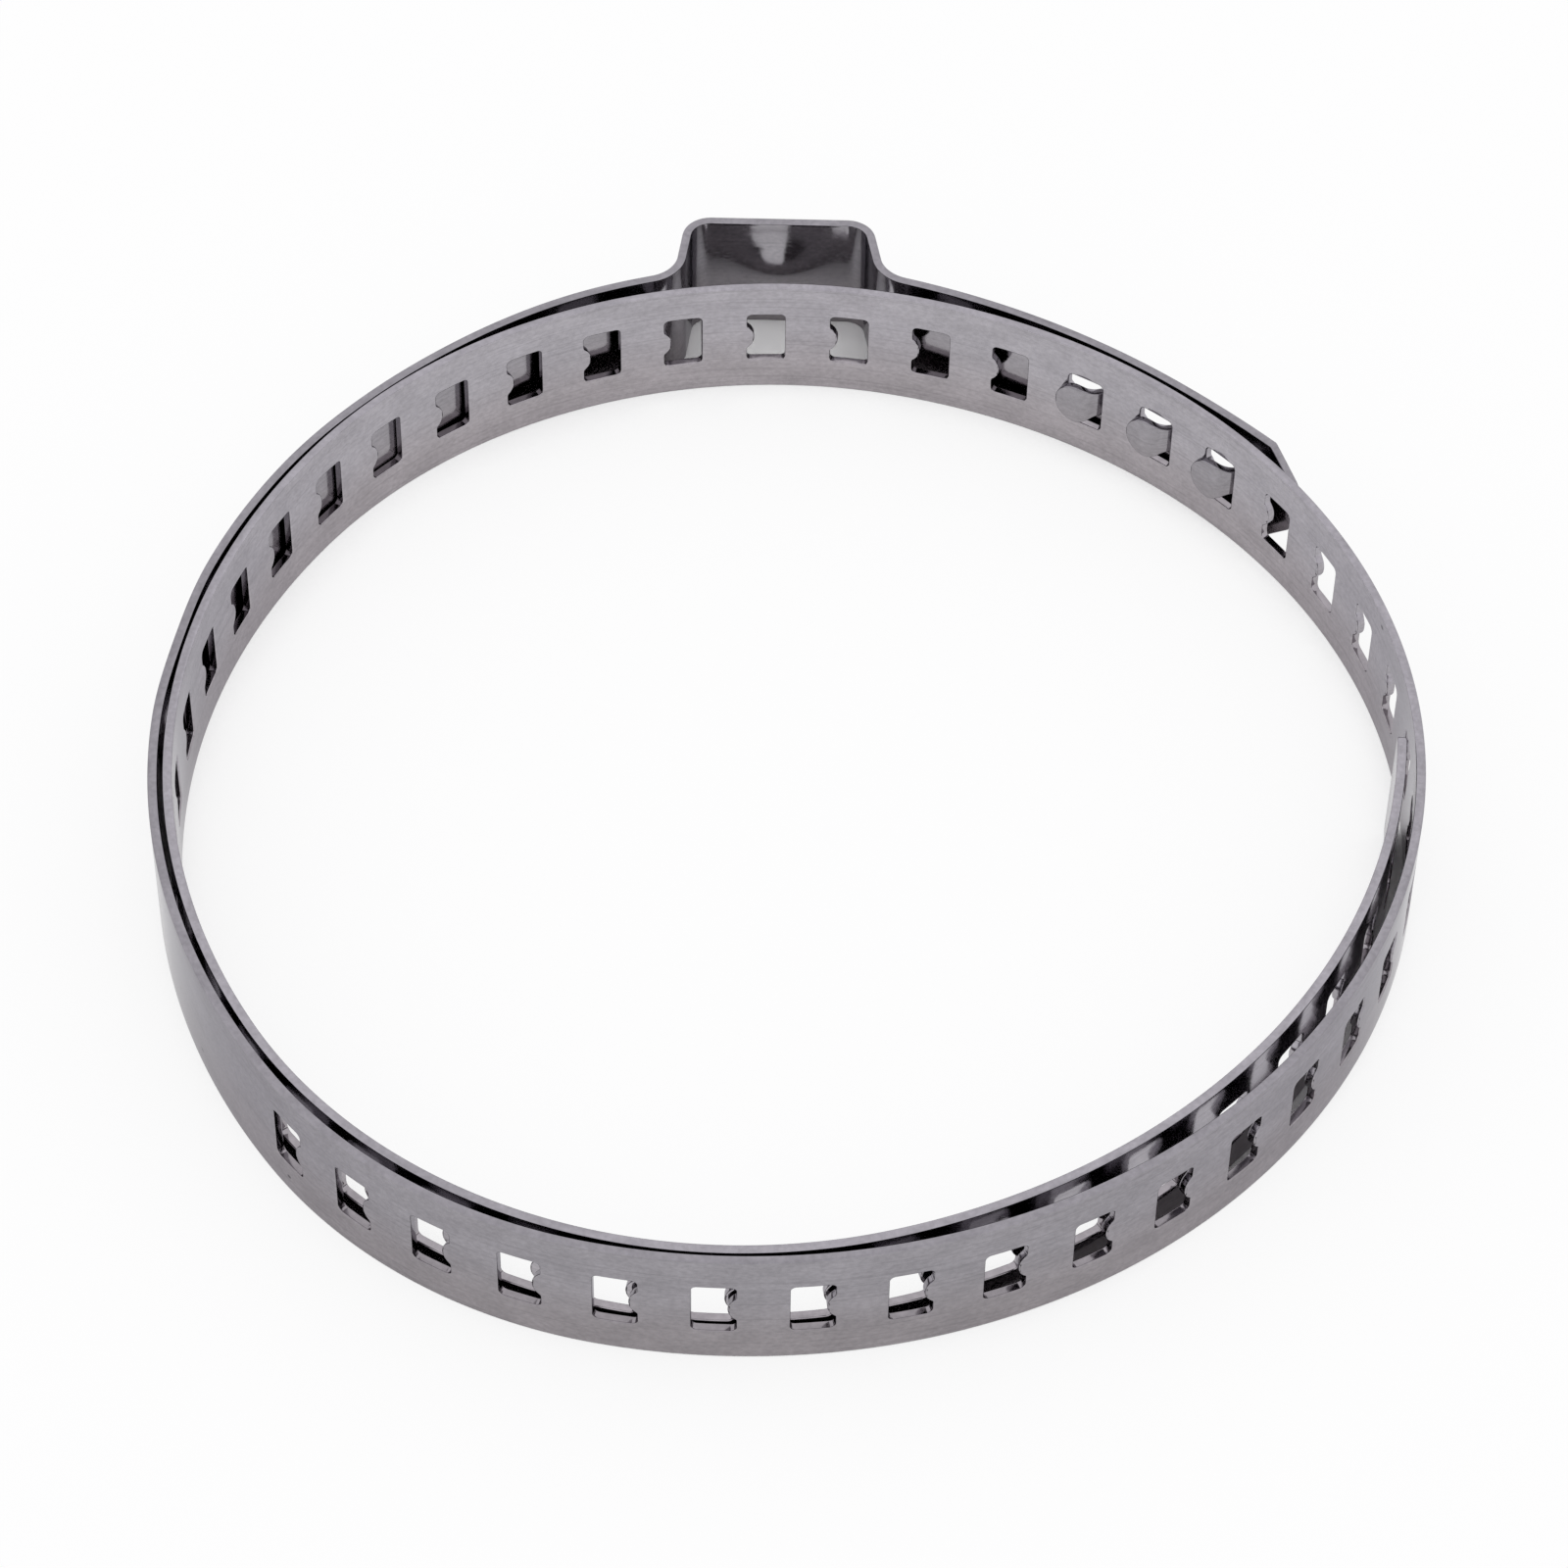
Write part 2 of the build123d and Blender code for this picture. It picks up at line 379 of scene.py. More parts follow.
def flat_strip(name, stations):
    """A closed flat length of band with a column edge at each station."""
    bpy.ops.object.select_all(action="DESELECT")
    bpy.ops.mesh.primitive_grid_add(
        x_subdivisions=len(stations) - 1, y_subdivisions=len(ROWS) - 1, size=1
    )
    piece = bpy.context.active_object
    piece.name = name
    for vertex in piece.data.vertices:
        column = round((vertex.co.x + 0.5) * (len(stations) - 1))
        row = round((vertex.co.y + 0.5) * (len(ROWS) - 1))
        vertex.co = (stations[column] * MM, 0, ROWS[row] * MM)
    with_modifier(piece, "SOLIDIFY", thickness=BAND_THICKNESS * MM, offset=0)
    return piece


def spaced(begin, end, step):
    """Stations from begin to end, no further apart than the step."""
    count = max(1, math.ceil((end - begin) / step))
    return [begin + (end - begin) * i / count for i in range(count)]


def round_edges(piece, seams):
    """Rounds all sharp edges but those of the cut ends at the seams."""
    only(piece)
    mesh = bmesh.new()
    mesh.from_mesh(piece.data)
    weight = mesh.edges.layers.float.new("bevel_weight_edge")
    for edge in mesh.edges:
        if len(edge.link_faces) == 2 and edge.calc_face_angle() > math.radians(SHARP_ANGLE):
            on_seam = any(
                all(abs(v.co.x - seam * MM) < TOUCHING for v in edge.verts) for seam in seams
            )
            edge[weight] = 0.0 if on_seam else 1.0
    mesh.to_mesh(piece.data)
    mesh.free()
    with_modifier(
        piece,
        "BEVEL",
        limit_method="WEIGHT",
        width=EDGE_ROUND * MM,
        segments=EDGE_SEGMENTS,
        use_clamp_overlap=False,
    )


def open_seam(piece, seam):
    """Removes the end faces at a seam, so that two lengths can be welded there."""
    pick(piece, "faces", lambda f: all(abs(v.co.x - seam * MM) < TOUCHING for v in f.verts))
    bpy.ops.mesh.delete(type="FACE")
    done()


print("rows of the flat strip in mm:", ROWS)

# %% [markdown]
# Each window is punched by a tool with rounded corners and a hollow in one side, which leaves
# the rounded tooth. The tool is modelled once as a block, hollowed by a cylinder, and its edges
# are rounded. One pitch of the strip is punched with it, rounded at its edges, and copied along
# the row with an Array modifier.

# %% One pitch of the window row
WINDOW_SEGMENTS = 5
TOOTH_SIDES = 56
ROOT_SEGMENTS = 3
ROOT_TOLERANCE = 0.02
ROOT_HEIGHT_TOLERANCE = 0.08
CELL_COLUMNS = [0.3, 0.9, 1.45, 1.85, 2.35]

half_window = WINDOW_LENGTH / 2
half_pitch = WINDOW_PITCH / 2
punch = block(
    "punch",
    (-half_window, -TOOL_REACH, MID_HEIGHT - WINDOW_HEIGHT / 2),
    (half_window, TOOL_REACH, MID_HEIGHT + WINDOW_HEIGHT / 2),
)
round_corners(punch, across, WINDOW_ROUND, WINDOW_SEGMENTS)
tooth_x = half_window - TOOTH_DEPTH + TOOTH_RADIUS
bpy.ops.mesh.primitive_cylinder_add(
    vertices=TOOTH_SIDES,
    radius=TOOTH_RADIUS * MM,
    depth=4 * TOOL_REACH * MM,
    location=(tooth_x * MM, 0, MID_HEIGHT * MM),
    rotation=(math.pi / 2, 0, 0),
)
hollow = added("hollow")
cut(punch, hollow)
root_z = math.sqrt(TOOTH_RADIUS**2 - (TOOTH_RADIUS - TOOTH_DEPTH) ** 2)


def at_tooth_root(edge):
    """True for the two edges where the tooth's arc leaves the window's side."""
    place = edge.verts[0].co / MM
    near_side = abs(place.x - half_window) < ROOT_TOLERANCE
    near_root = abs(abs(place.z - MID_HEIGHT) - root_z) < ROOT_HEIGHT_TOLERANCE
    return across(edge) and near_side and near_root


root_count = round_corners(punch, at_tooth_root, TOOTH_ROOT_ROUND, ROOT_SEGMENTS)
print("rounded tooth roots:", root_count)

cell_half = CELL_COLUMNS + [half_pitch]
cell_stations = [-x for x in reversed(cell_half)] + cell_half
cell = flat_strip("window_row", cell_stations)
cut(cell, punch)
round_edges(cell, (-half_pitch, half_pitch))
open_seam(cell, -half_pitch)
open_seam(cell, half_pitch)
print("one pitch has", len(cell.data.polygons), "faces")

with_modifier(
    cell,
    "ARRAY",
    count=window_count,
    use_relative_offset=False,
    use_constant_offset=True,
    constant_offset_displace=(WINDOW_PITCH * MM, 0, 0),
    use_merge_vertices=True,
    merge_threshold=TOUCHING,
)
cell.location.x = (row_begins + half_pitch) * MM
only(cell)
bpy.ops.object.transform_apply(location=True, rotation=False, scale=False)
print("the row has", len(cell.data.polygons), "faces")

# %% [markdown]
# The hook end, the ear and the plain stretch are one more length of band. The ear bends tightly,
# so its columns are closer. The tip is cut to a blunt point by keeping only what lies inside a
# block of that outline.

# %% Hook end, ear and plain stretch
TIP_UPPER_LENGTH = 2.6
TIP_UPPER_CUT = 2.3
TIP_LOWER_LENGTH = 1.2
TIP_LOWER_CUT = 2.9
TIP_ROUND = 0.5
TIP_CORNER_TURN = 45.0
CORNER_SEGMENTS = 4
PLAIN_STEP = 0.5
EAR_STEP = 0.15

leader_stations = spaced(0, hook_end_length, PLAIN_STEP)
leader_stations += spaced(hook_end_length, winding_begins, EAR_STEP)
leader_stations += spaced(winding_begins, row_begins, PLAIN_STEP) + [row_begins]
leader = flat_strip("clamp_strip", leader_stations)

nose = block(
    "nose",
    (0, -TOOL_REACH, -BAND_WIDTH),
    (row_begins + BAND_WIDTH, TOOL_REACH, 2 * BAND_WIDTH),
)
for cut_length, cut_height, level, side in (
    (TIP_UPPER_LENGTH, TIP_UPPER_CUT, BAND_WIDTH, 1),
    (TIP_LOWER_LENGTH, TIP_LOWER_CUT, 0.0, -1),
):
    pick(nose, "faces", lambda f: True)
    bpy.ops.mesh.bisect(
        plane_co=(0, 0, (level - side * cut_height) * MM),
        plane_no=(-cut_height, 0, side * cut_length),
        use_fill=True,
        clear_outer=True,
    )
    done()
tip_corner = TIP_ROUND * math.tan(math.radians(TIP_CORNER_TURN / 2))
corner_count = round_corners(
    nose, lambda e: across(e) and e.verts[0].co.x < TOUCHING, tip_corner, CORNER_SEGMENTS
)
cut(leader, nose, "INTERSECT")
print("hook end and ear:", len(leader.data.polygons), "faces, tip corners:", corner_count)

# %% [markdown]
# The tail is the plain end of the inner turn, sheared square, with its two corners taken off.

# %% Tail
TAIL_ROUND = 0.4
tail = flat_strip("tail", spaced(row_ends, strip_length, PLAIN_STEP) + [strip_length])
heel = block(
    "heel",
    (row_ends - BAND_WIDTH, -TOOL_REACH, 0),
    (strip_length, TOOL_REACH, BAND_WIDTH),
)
round_corners(
    heel, lambda e: across(e) and e.verts[0].co.x > row_ends * MM, TAIL_ROUND, CORNER_SEGMENTS
)
cut(tail, heel, "INTERSECT")
round_edges(tail, (row_ends,))
open_seam(tail, row_ends)
print("tail:", round(strip_length - row_ends, 2), "mm,", len(tail.data.polygons), "faces")

# %% [markdown]
# The three hooks are tongues that a press lances out of the hook end and bends inwards, through
# the windows of the layer under it. Each one leaves a slot. A tongue slopes down from a narrow
# neck to a round flat end that lies over the window's edge. It is modelled as a small flat plate
# of that outline, bent by a Curve modifier along its side view, and united with the strip.

# %% Hooks and their slots
HOOK_WIDTH = 3.1
HOOK_THICKNESS = 0.55
HOOK_NECK = 2.1
HOOK_NARROWING = 1.6
HOOK_LAP = 0.68
HOOK_CLEARANCE = 0.12
HOOK_BEND_RADIUS = 1.0
HOOK_LEAN = 42.0
HOOK_WALL_OFFSET = -0.6
HOOK_ROOT_LAP = 0.5
SLOT_CLEARANCE = 0.08
SLOT_LONGEST = 4.9
SLOT_END_SEGMENTS = 9
NEARLY_WHOLE = 0.999
ROUND_END_PICK = 0.01
TONGUE_STEP = 0.09
TONGUE_ROWS = 4
TONGUE_END_HALF = 0.15
PATH_RESOLUTION = 48
END_HANDLE = 1.0
NEAREST_STEPS = 20


def bezier_path(name, path_knots):
    """A Bezier curve through knots in millimetres, with handles that make true arcs."""
    data = bpy.data.curves.new(name, "CURVE")
    data.dimensions = "3D"
    data.twist_mode = "Z_UP"
    data.resolution_u = PATH_RESOLUTION
    spline = data.splines.new("BEZIER")
    spline.bezier_points.add(len(path_knots) - 1)
    for i, (point, along) in enumerate(path_knots):
        bezier = spline.bezier_points[i]
        bezier.handle_left_type = bezier.handle_right_type = "FREE"
        before = handle_length(path_knots[i - 1], path_knots[i]) if i else END_HANDLE
        last = i == len(path_knots) - 1
        after = END_HANDLE if last else handle_length(path_knots[i], path_knots[i + 1])
        bezier.co = point * MM
        bezier.handle_left = (point - along * before) * MM
        bezier.handle_right = (point + along * after) * MM
    curve = bpy.data.objects.new(name, data)
    bpy.context.scene.collection.objects.link(curve)
    return curve


def bend_along(piece, curve):
    """Bends a piece along a curve and removes the curve."""
    with_modifier(piece, "CURVE", object=curve, deform_axis="POS_X")
    bpy.data.objects.remove(curve, do_unlink=True)


def hook_end_place(station):
    """Centre-line point and outward direction of the hook end at a station from the tip."""
    if station < TIP_STRETCH_LENGTH:
        angle = TIP_STRETCH_DIRECTION - tip_turn + math.degrees(station / TIP_STRETCH_RADIUS)
        return tip_centre + direction(angle) * TIP_STRETCH_RADIUS, direction(angle)
    angle = TIP_STRETCH_DIRECTION + math.degrees((station - TIP_STRETCH_LENGTH) / HOOK_END_RADIUS)
    return HOOK_END_CENTRE + direction(angle) * HOOK_END_RADIUS, direction(angle)


def window_place(station):
    """Centre-line point of the winding at a station on the bend under the hooks."""
    before = sum(r * math.radians(e - b) for _, r, b, e in bend_arcs[:HOOKED_BEND])
    arc_centre, arc_radius, arc_begin, _ = bend_arcs[HOOKED_BEND]
    angle = arc_begin + math.degrees((station - winding_begins - before) / arc_radius)
    return arc_centre + direction(angle) * arc_radius


def hook_station(point, guess):
    """Station on the hook end nearest to a point."""
    for _ in range(NEAREST_STEPS):
        place, outward = hook_end_place(guess)
        along = Vector((-outward.y, outward.x, 0))
        guess += (point - place).dot(along)
    return guess


def round_ended(name, begin_x, finish_x, width, deep):
    """A bar of a width in Z whose +X end is a half circle."""
    bar = block(
        name,
        (begin_x, -deep, MID_HEIGHT - width / 2),
        (finish_x, deep, MID_HEIGHT + width / 2),
    )
    round_corners(
        bar,
        lambda e: across(e) and e.verts[0].co.x > (begin_x + ROUND_END_PICK) * MM,
        width / 2 * NEARLY_WHOLE,
        SLOT_END_SEGMENTS,
    )
    return bar


def tongue_half_width(from_end):
    """Half the tongue's width at a distance from its end: a disc that narrows to a neck."""
    disc = HOOK_WIDTH / 2
    if from_end < disc:
        return math.sqrt(max(disc**2 - (disc - from_end) ** 2, TONGUE_END_HALF**2))
    narrowing = min(1.0, (from_end - disc) / HOOK_NARROWING)
    return disc - (HOOK_WIDTH - HOOK_NECK) / 2 * (1 - math.cos(math.pi * narrowing)) / 2


lean = math.tan(math.radians(HOOK_LEAN))
tongues = []
for step in range(HOOK_COUNT):
    window_point = window_place(hooked_station + step * WINDOW_PITCH)
    root_station = hook_station(window_point, FIRST_HOOK_INSET + step * WINDOW_PITCH)
    spacing = (hook_end_place(root_station)[0] - window_point).length
    flat_y = (BAND_THICKNESS + HOOK_THICKNESS) / 2 + HOOK_CLEARANCE
    root_x = HOOK_WALL_OFFSET - spacing * lean
    flat_x = HOOK_WALL_OFFSET + flat_y * lean
    end_x = half_window + HOOK_LAP
    bend_reach = HOOK_BEND_RADIUS * math.tan(math.radians(90 - HOOK_LEAN) / 2)
    start_x = root_x - bend_reach - HOOK_ROOT_LAP
    side = [
        Vector((start_x, 0, 0)),
        Vector((root_x, 0, 0)),
        Vector((flat_x, spacing + flat_y, 0)),
        Vector((end_x, spacing + flat_y, 0)),
    ]
    side_knots = [(side[0], Vector((1, 0, 0)))]
    side_knots += corner_knots(side[0], side[1], side[2], HOOK_BEND_RADIUS)
    side_knots += corner_knots(side[1], side[2], side[3], HOOK_BEND_RADIUS)
    side_knots += [(side[3], Vector((1, 0, 0)))]
    developed = path_length(side_knots)
    slot_start = root_station + root_x - bend_reach
    slot_end = min(root_station + start_x + developed, slot_start + SLOT_LONGEST)
    slot_width = HOOK_WIDTH + 2 * SLOT_CLEARANCE
    cut(leader, round_ended("slot_tool", slot_start, slot_end, slot_width, TOOL_REACH))

    tongue_columns = math.ceil(developed / TONGUE_STEP)
    bpy.ops.object.select_all(action="DESELECT")
    bpy.ops.mesh.primitive_grid_add(
        x_subdivisions=tongue_columns, y_subdivisions=TONGUE_ROWS, size=1
    )
    tongue = bpy.context.active_object
    tongue.name = f"tongue_{step}"
    for vertex in tongue.data.vertices:
        reach = (vertex.co.x + 0.5) * developed
        width = 2 * tongue_half_width(developed - reach)
        vertex.co = (reach * MM, 0, vertex.co.y * width * MM)
    with_modifier(tongue, "SOLIDIFY", thickness=HOOK_THICKNESS * MM, offset=0)
    round_edges(tongue, (0,))
    bend_along(tongue, bezier_path("tongue_path", side_knots))
    tongue.location = (root_station * MM, 0, MID_HEIGHT * MM)
    only(tongue)
    bpy.ops.object.transform_apply(location=True, rotation=False, scale=False)
    tongues.append(tongue)
    print("hook", step, "station", round(root_station, 2), "spacing", round(spacing, 2))

round_edges(leader, (row_begins,))
for tongue in tongues:
    cut(leader, tongue, "UNION")
open_seam(leader, row_begins)

# %% [markdown]
# A punch with a round nose presses a shallow dimple into the middle of the ear's crest, which
# stiffens the ear. The flat strip gets more rows there, and a smooth dent moves them inwards.

# %% Dimple of the ear
DIMPLE_DEPTH = 0.42
DIMPLE_REACH = 4.2
DIMPLE_RISE = 3.8
DIMPLE_MARGIN = 0.5
DIMPLE_CUTS = 6
SAME_PLACE = 1e-3

crest_run = run_length(ear_knots[3], ear_knots[4])
crest_station = path_length(hook_end_knots + ear_knots[:4]) + crest_run / 2


def upright_by_dimple(edge):
    """True for an edge up the strip's width that lies near the dimple."""
    a, b = (v.co / MM for v in edge.verts)
    upright = abs(a.x - b.x) < SAME_PLACE and abs(a.y - b.y) < SAME_PLACE
    return upright and abs(a.x - crest_station) < DIMPLE_REACH + DIMPLE_MARGIN


print("rows split for the dimple:", pick(leader, "edges", upright_by_dimple))
bpy.ops.mesh.subdivide(number_cuts=DIMPLE_CUTS)
done()
for vertex in leader.data.vertices:
    along = min(1.0, abs(vertex.co.x / MM - crest_station) / DIMPLE_REACH)
    up = min(1.0, abs(vertex.co.z / MM - MID_HEIGHT) / DIMPLE_RISE)
    depth = (1 + math.cos(math.pi * along)) * (1 + math.cos(math.pi * up)) / 4
    vertex.co.y += DIMPLE_DEPTH * MM * depth

# %% [markdown]
# The hook end, the row of windows and the tail meet at two open seams, where their columns and
# rows match. Joining them and merging the doubled points makes one closed strip.

# %% Weld the three lengths
only(leader)
cell.select_set(True)
tail.select_set(True)
bpy.ops.object.join()
strip = leader
pick(strip, "verts", lambda v: True)
bpy.ops.mesh.remove_doubles(threshold=TOUCHING)
done()
check = bmesh.new()
check.from_mesh(strip.data)
open_edges = sum(1 for e in check.edges if len(e.link_faces) != 2)
check.free()
print("flat strip:", len(strip.data.polygons), "faces, open edges:", open_edges)

# %% [markdown]
# A Curve modifier winds the flat strip up along the path. Before that, every point keeps its
# flat place as an attribute, which the finish reads later. The outer turn also settles inwards
# a little at two places, where the loose turns lie closer: middle, reach and depth in mm.

# %% Wind the strip up
SETTLED = [(74.0, 14.0, 0.26), (105.0, 7.0, 0.14)]
EVEN_WEIGHT = 50
flat_place = strip.data.attributes.new("flat_place", "FLOAT_VECTOR", "POINT")
for vertex in strip.data.vertices:
    flat_place.data[vertex.index].vector = vertex.co
    for middle, reach, inwards in SETTLED:
        share = min(1.0, abs(vertex.co.x / MM - middle) / reach)
        vertex.co.y += inwards * MM * (1 + math.cos(math.pi * share)) / 2
bend_along(strip, bezier_path("strip_path", knots))
node_low, node_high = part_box(NODE)
low = [min(v.co[i] for v in strip.data.vertices) for i in range(3)]
high = [max(v.co[i] for v in strip.data.vertices) for i in range(3)]
shift = [(node_low[i] + node_high[i] - low[i] - high[i]) / 2 for i in range(2)]
strip.data.transform(Matrix.Translation((shift[0], shift[1], 0)))
only(strip)
bpy.ops.object.shade_smooth()
# The modifier weighs the faces wrongly where they are tiny, so the strip is enlarged meanwhile.
strip.data.transform(Matrix.Scale(1 / MM, 4))
with_modifier(strip, "WEIGHTED_NORMAL", keep_sharp=False, weight=EVEN_WEIGHT)
strip.data.transform(Matrix.Scale(MM, 4))
print("shift in mm:", [round(s / MM, 3) for s in shift])
print("wound size in mm:", [round((b - a) / MM, 3) for a, b in zip(low, high)])

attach(strip, "root")
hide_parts(NODE)

# %% [markdown]
# Every colour is a hex value as a painter would read it off a screen, and one function turns it
# into the linear values that shaders work with. One more function adds a node to a material.

# %% Material helpers
def linear(hex_colour):
    """Turns an sRGB hex colour into the linear values that Blender's sockets take."""
    parts = [int(hex_colour[i : i + 2], 16) / 255 for i in (0, 2, 4)]
    return [p / 12.92 if p <= 0.04045 else ((p + 0.055) / 1.055) ** 2.4 for p in parts] + [1.0]


def node(tree, kind, settings=None, numbered=None, **named):
    """Adds a shader node; its inputs go in by name, or by number where names repeat."""
    made = tree.nodes.new(kind)
    for key, value in (settings or {}).items():
        setattr(made, key, value)
    inputs = {made.inputs[key.replace("_", " ")]: value for key, value in named.items()}
    inputs.update({made.inputs[key]: value for key, value in (numbered or {}).items()})
    for socket, value in inputs.items():
        if isinstance(value, bpy.types.NodeSocket):
            tree.links.new(value, socket)
        else:
            socket.default_value = value
    return made


print("half grey in linear values:", [round(v, 3) for v in linear("808080")[:3]])

# %% [markdown]
# The band is cold-rolled stainless spring steel, tumbled after the stamping. Rolling leaves a
# satin surface with a fine grain, a little longer along the strip than across it, and tumbling
# dulls it evenly. So the finish follows the flat strip and not the bent one: every pattern reads
# the place that a point had on the flat strip. The grain is 0.3 mm long here, some three times
# coarser than the real one, because a finer one would not show in the picture. Wide soft clouds
# and thin lines along the strip break up the grey, as rolling oil and rolling marks do. Painted
# shade makes the lower half a little darker and browner, painted light makes the inner turn a
# little lighter, and a few dark specks of dirt sit where the photo shows them. To the eye it is a
# soft grey mirror with a silky surface.

# %% Satin grain of the band
GRAIN_PER_MM = (2.6, 2.6, 4.2)
CLOUDS_PER_MM = (0.3, 0.9, 0.55)
LINES_PER_MM = (0.035, 1.0, 7.0)
PATTERN_DETAILS = (2.0, 4.0, 2.0)
PATTERN_ROUGHNESSES = (0.6, 0.6, 0.5)
GRAIN_SPREAD = (0.3, 0.7)
CLOUD_SPREAD = (0.35, 0.65)
LINE_SPREAD = (0.35, 0.45)
GRAIN_SHADES = (0.9, 1.1)
CLOUD_SHADES = (0.93, 1.07)
LINE_SHADES = (0.9, 1.0)
GRAIN_ROUGHNESS = (0.08, 0.16)
GRAIN_BUMP = 0.15
GRAIN_DEPTH = 0.01
STEEL_TONE = "99969B"
# Painted shade: the lower part of the band is darker and browner, standing in for the darker floor
# that it reflects near its foot.
LOWER_SHADE_TONE = "948F92"
LOWER_SHADE_BAND = (1.0, 6.5)
EDGE_TINT = "D6D5D8"
# Painted light: from these stations on, the inner turn is made lighter than the outer turn,
# standing in for the brighter light that it reflects.
PAINTED_LIGHT_STATIONS = (190.0, 260.0)
PAINTED_LIGHT_SHADES = (0.98, 1.22)
SPECK_SHADE = 0.3
SPECK_EDGE = (0.5, 1.1)
# Station, height, length and thickness of each speck in millimetres.
SPECKS = [
    (117.9, 7.2, 0.8, 0.35),
    (120.0, 7.1, 0.5, 0.3),
    (120.3, 2.5, 0.4, 0.3),
    (251.7, 8.3, 0.55, 0.3),
    (101.4, 7.4, 0.4, 0.3),
    (129.4, 2.9, 0.4, 0.3),
    (133.4, 1.5, 0.5, 0.3),
    (144.7, 1.3, 0.4, 0.3),
]

steel = bpy.data.materials.new("satin_rolled_stainless_steel")
steel.use_nodes = True
tree = steel.node_tree
tree.nodes.clear()
place = node(tree, "ShaderNodeAttribute", {"attribute_name": "flat_place"})
patterns = []
for per_mm, detail, roughness in zip(
    (GRAIN_PER_MM, CLOUDS_PER_MM, LINES_PER_MM), PATTERN_DETAILS, PATTERN_ROUGHNESSES
):
    scaled = node(
        tree,
        "ShaderNodeVectorMath",
        {"operation": "MULTIPLY"},
        {0: place.outputs["Vector"], 1: [value / MM for value in per_mm]},
    )
    patterns.append(
        node(
            tree,
            "ShaderNodeTexNoise",
            Vector=scaled.outputs[0],
            Scale=1.0,
            Detail=detail,
            Roughness=roughness,
        )
    )
grain, clouds, lines = patterns
parts = node(tree, "ShaderNodeSeparateXYZ", Vector=place.outputs["Vector"])
painted_light_band = [station * MM for station in PAINTED_LIGHT_STATIONS]
last_tone = None
for source, kind, (first, last), (dark, light) in (
    (grain.outputs[0], "LINEAR", GRAIN_SPREAD, GRAIN_SHADES),
    (clouds.outputs[0], "LINEAR", CLOUD_SPREAD, CLOUD_SHADES),
    (lines.outputs[0], "LINEAR", LINE_SPREAD, LINE_SHADES),
    # painted light that makes the inner turn lighter
    (parts.outputs["X"], "SMOOTHSTEP", painted_light_band, PAINTED_LIGHT_SHADES),
):
    tone = node(
        tree,
        "ShaderNodeMapRange",
        {"interpolation_type": kind},
        {0: source, 1: first, 2: last, 3: dark, 4: light},
    )
    if last_tone is None:
        last_tone = tone
        continue
    last_tone = node(
        tree,
        "ShaderNodeMath",
        {"operation": "MULTIPLY"},
        {0: last_tone.outputs[0], 1: tone.outputs[0]},
    )
for station, height, length, thick in SPECKS:
    away = node(
        tree,
        "ShaderNodeVectorMath",
        {"operation": "SUBTRACT"},
        {0: place.outputs["Vector"], 1: (station * MM, 0, height * MM)},
    )
    stretched = node(
        tree,
        "ShaderNodeVectorMath",
        {"operation": "MULTIPLY"},
        {0: away.outputs[0], 1: (2 / length / MM, 0, 2 / thick / MM)},
    )
    far = node(tree, "ShaderNodeVectorMath", {"operation": "LENGTH"}, {0: stretched.outputs[0]})
    speck_tone = node(
        tree,
        "ShaderNodeMapRange",
        {"interpolation_type": "SMOOTHSTEP"},
        {0: far.outputs["Value"], 1: SPECK_EDGE[0], 2: SPECK_EDGE[1], 3: SPECK_SHADE, 4: 1.0},
    )
    last_tone = node(
        tree,
        "ShaderNodeMath",
        {"operation": "MULTIPLY"},
        {0: last_tone.outputs[0], 1: speck_tone.outputs[0]},
    )
# Painted shade: the band's colour turns darker towards its bottom edge.
up = node(
    tree,
    "ShaderNodeMapRange",
    {"interpolation_type": "SMOOTHSTEP"},
    {0: parts.outputs["Z"], 1: LOWER_SHADE_BAND[0] * MM, 2: LOWER_SHADE_BAND[1] * MM, 3: 0.0, 4: 1.0},
)
tone_with_painted_shade = node(
    tree,
    "ShaderNodeMix",
    {"data_type": "RGBA"},
    {0: up.outputs[0], 6: linear(LOWER_SHADE_TONE), 7: linear(STEEL_TONE)},
)
steel_colour = node(
    tree,
    "ShaderNodeVectorMath",
    {"operation": "SCALE"},
    {0: tone_with_painted_shade.outputs[2]},
    Scale=last_tone.outputs[0],
)
rough = node(
    tree,
    "ShaderNodeMapRange",
    None,
    {
        0: grain.outputs[0],
        1: GRAIN_SPREAD[0],
        2: GRAIN_SPREAD[1],
        3: GRAIN_ROUGHNESS[0],
        4: GRAIN_ROUGHNESS[1],
    },
)
bump = node(
    tree,
    "ShaderNodeBump",
    Strength=GRAIN_BUMP,
    Distance=GRAIN_DEPTH * MM,
    Height=grain.outputs[0],
)
shader = node(
    tree,
    "ShaderNodeBsdfPrincipled",
    Base_Color=steel_colour.outputs[0],
    Metallic=1.0,
    Specular_Tint=linear(EDGE_TINT),
    Roughness=rough.outputs[0],
    Normal=bump.outputs[0],
)
node(tree, "ShaderNodeOutputMaterial", Surface=shader.outputs[0])
strip.data.materials.clear()
strip.data.materials.append(steel)
print("steel:", len(tree.nodes), "nodes,", len(SPECKS), "specks")

# %% [markdown]
# The clamp lies on white paper in a room that is white all round, so its light is soft and has
# no side. The camera sees the paper as nearly pure white: part of it glows, but only toward the
# camera and in reflections, so no light is added to the steel. The glow fades where the paper is
# closed in, under the ear and between the turns, because there the paper is in shade. The rest
# is plain paper, which keeps the soft shadow of the clamp. Paper gives the eye no gloss at all.

# %% Floor and light
WHITE_SHARE = 0.85
SKY_STRENGTH = 1.0
SKY_TONE = "FDFCFF"
PAPER_TONE = "FAFAF9"
GLOW_TONE = "FFFFFF"
FLOOR_SIZE = 6.0
SHADE_REACH = 30.0
SHADE_SAMPLES = 8
SHADE_BAND = (0.2, 0.55)

